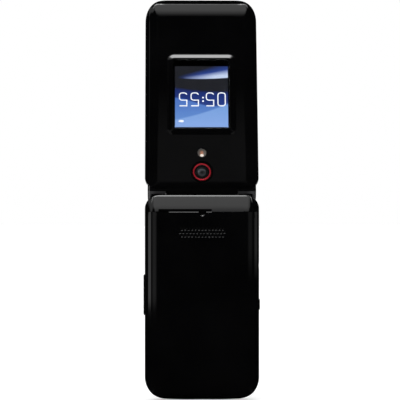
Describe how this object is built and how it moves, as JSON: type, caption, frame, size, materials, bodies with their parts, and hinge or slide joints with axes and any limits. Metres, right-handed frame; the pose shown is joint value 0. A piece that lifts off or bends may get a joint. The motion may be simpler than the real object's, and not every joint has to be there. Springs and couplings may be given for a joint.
{
  "type": "flip phone",
  "caption": "Folding mobile phone with a keypad base and removable battery cover, and a lid with inner and outer displays, camera and flash, joined by a round hinge barrel.",
  "frame": {"origin": "on the flat back of the battery cover, on the phone's centreline, 47 mm above its foot", "axes": "+Z along the phone from foot to hinge and lid, +Y out of the back of the battery cover, +X to the right of a user who faces the keypad"},
  "size_m": [0.0549, 0.0412, 0.1921],
  "materials": {
    "shell_black": "polished",
    "face_black": "polished",
    "key_black": "satin",
    "nav_silver": "satin",
    "ok_black": "polished",
    "side_black": "polished",
    "plate_steel": "stamped",
    "battery_grey": "matte",
    "contact_gold": "gold plated",
    "board_green": "solder mask",
    "can_steel": "tin plated",
    "dome_film": "film",
    "speaker_black": "matte",
    "motor_steel": "drawn",
    "jack_black": "matte",
    "screw_steel": "zinc plated",
    "hinge_steel": "turned",
    "main_glass": "clear",
    "main_panel": "display",
    "sub_glass": "clear",
    "sub_panel": "display",
    "camera_black": "matte",
    "camera_glass": "clear",
    "ring_red": "metallic red",
    "led_yellow": "phosphor",
    "flash_clear": "clear",
    "flex_amber": "film",
    "bumper_rubber": "matte"
  },
  "bodies": {
    "base": {"rear_housing": "shell_black", "front_housing": "face_black", "battery_contacts": "contact_gold", "main_board": "board_green", "shield_cans": "can_steel", "dome_sheet": "dome_film", "speaker": "speaker_black", "vibration_motor": "motor_steel", "microphone": "speaker_black", "usb_port": "can_steel", "headset_jack": "jack_black", "sim_holder": "can_steel", "antenna": "contact_gold", "base_screws": "screw_steel", "hinge_cam": "hinge_steel", "hinge_pin": "hinge_steel", "hinge_caps": "shell_black"},
    "battery": {"battery": "battery_grey"},
    "battery_cover": {"battery_cover": "shell_black"},
    "lid": {"lid_rear_housing": "shell_black", "lid_front_housing": "face_black", "main_window": "main_glass", "main_display": "main_panel", "sub_window": "sub_glass", "sub_display": "sub_panel", "camera_module": "camera_black", "camera_window": "camera_glass", "camera_ring": "ring_red", "flash_led": "led_yellow", "flash_lens": "flash_clear", "earpiece": "speaker_black", "lid_board": "board_green", "lid_flex": "flex_amber", "lid_magnet": "hinge_steel", "lid_bumpers": "bumper_rubber", "lid_screws": "screw_steel", "hinge_cartridge": "hinge_steel", "hinge_spring": "hinge_steel"},
    "nav_plate": {"nav_plate": "plate_steel"},
    "nav_ring": {"nav_ring": "nav_silver"},
    "ok_key": {"ok_key": "ok_black"},
    "soft_key_left": {"soft_key_left": "key_black"},
    "soft_key_right": {"soft_key_right": "key_black"},
    "send_key": {"send_key": "key_black"},
    "end_key": {"end_key": "key_black"},
    "clear_key": {"clear_key": "key_black"},
    "key_1": {"key_1": "key_black"},
    "key_2": {"key_2": "key_black"},
    "key_3": {"key_3": "key_black"},
    "key_4": {"key_4": "key_black"},
    "key_5": {"key_5": "key_black"},
    "key_6": {"key_6": "key_black"},
    "key_7": {"key_7": "key_black"},
    "key_8": {"key_8": "key_black"},
    "key_9": {"key_9": "key_black"},
    "key_star": {"key_star": "key_black"},
    "key_0": {"key_0": "key_black"},
    "key_hash": {"key_hash": "key_black"},
    "side_key": {"side_key": "side_black"},
    "volume_rocker": {"volume_rocker": "side_black"}
  },
  "joints": [
    {"name": "battery_cover_pull", "type": "slide", "parent": "base", "child": "battery_cover", "axis": [0, 1, 0], "range_m": [0, 0.02]},
    {"name": "battery_lift", "type": "slide", "parent": "base", "child": "battery", "axis": [0, 1, 0], "range_m": [0, 0.01]},
    {"name": "flip_fold", "type": "hinge", "parent": "base", "child": "lid", "pos_m": [0, -0.0111, 0.0516], "axis": [1, 0, 0], "range_deg": [0, 162]},
    {"name": "nav_tilt_sideways", "type": "hinge", "parent": "base", "child": "nav_plate", "pos_m": [0, -0.0087, 0.03], "axis": [0, 0, 1], "range_deg": [-1.1, 1.1], "stiffness_Nm_per_rad": 0.02},
    {"name": "nav_tilt_upright", "type": "hinge", "parent": "nav_plate", "child": "nav_ring", "pos_m": [0, -0.0087, 0.03], "axis": [1, 0, 0], "range_deg": [-1.1, 1.1], "stiffness_Nm_per_rad": 0.02},
    {"name": "press_ok_key", "type": "slide", "parent": "base", "child": "ok_key", "axis": [0, 1, 0], "range_m": [0, 0.0002], "stiffness_N_per_m": 300},
    {"name": "press_soft_key_left", "type": "slide", "parent": "base", "child": "soft_key_left", "axis": [0, 1, 0], "range_m": [0, 0.00025], "stiffness_N_per_m": 300},
    {"name": "press_soft_key_right", "type": "slide", "parent": "base", "child": "soft_key_right", "axis": [0, 1, 0], "range_m": [0, 0.00025], "stiffness_N_per_m": 300},
    {"name": "press_send_key", "type": "slide", "parent": "base", "child": "send_key", "axis": [0, 1, 0], "range_m": [0, 0.00025], "stiffness_N_per_m": 300},
    {"name": "press_end_key", "type": "slide", "parent": "base", "child": "end_key", "axis": [0, 1, 0], "range_m": [0, 0.00025], "stiffness_N_per_m": 300},
    {"name": "press_clear_key", "type": "slide", "parent": "base", "child": "clear_key", "axis": [0, 1, 0], "range_m": [0, 0.00025], "stiffness_N_per_m": 300},
    {"name": "press_key_1", "type": "slide", "parent": "base", "child": "key_1", "axis": [0, 1, 0], "range_m": [0, 0.00025], "stiffness_N_per_m": 300},
    {"name": "press_key_2", "type": "slide", "parent": "base", "child": "key_2", "axis": [0, 1, 0], "range_m": [0, 0.00025], "stiffness_N_per_m": 300},
    {"name": "press_key_3", "type": "slide", "parent": "base", "child": "key_3", "axis": [0, 1, 0], "range_m": [0, 0.00025], "stiffness_N_per_m": 300},
    {"name": "press_key_4", "type": "slide", "parent": "base", "child": "key_4", "axis": [0, 1, 0], "range_m": [0, 0.00025], "stiffness_N_per_m": 300},
    {"name": "press_key_5", "type": "slide", "parent": "base", "child": "key_5", "axis": [0, 1, 0], "range_m": [0, 0.00025], "stiffness_N_per_m": 300},
    {"name": "press_key_6", "type": "slide", "parent": "base", "child": "key_6", "axis": [0, 1, 0], "range_m": [0, 0.00025], "stiffness_N_per_m": 300},
    {"name": "press_key_7", "type": "slide", "parent": "base", "child": "key_7", "axis": [0, 1, 0], "range_m": [0, 0.00025], "stiffness_N_per_m": 300},
    {"name": "press_key_8", "type": "slide", "parent": "base", "child": "key_8", "axis": [0, 1, 0], "range_m": [0, 0.00025], "stiffness_N_per_m": 300},
    {"name": "press_key_9", "type": "slide", "parent": "base", "child": "key_9", "axis": [0, 1, 0], "range_m": [0, 0.00025], "stiffness_N_per_m": 300},
    {"name": "press_key_star", "type": "slide", "parent": "base", "child": "key_star", "axis": [0, 1, 0], "range_m": [0, 0.00025], "stiffness_N_per_m": 300},
    {"name": "press_key_0", "type": "slide", "parent": "base", "child": "key_0", "axis": [0, 1, 0], "range_m": [0, 0.00025], "stiffness_N_per_m": 300},
    {"name": "press_key_hash", "type": "slide", "parent": "base", "child": "key_hash", "axis": [0, 1, 0], "range_m": [0, 0.00025], "stiffness_N_per_m": 300},
    {"name": "press_side_key", "type": "slide", "parent": "base", "child": "side_key", "axis": [1, 0, 0], "range_m": [0, 0.0003], "stiffness_N_per_m": 300},
    {"name": "tilt_volume_rocker", "type": "hinge", "parent": "base", "child": "volume_rocker", "pos_m": [0.0251, -0.0062, 0.0024], "axis": [0, 1, 0], "range_deg": [-1.2, 1.2], "stiffness_Nm_per_rad": 0.02}
  ],
  "couplings": [
    {"joint": "battery_lift", "follows": "battery_cover_pull", "ratio": 0.5}
  ]
}
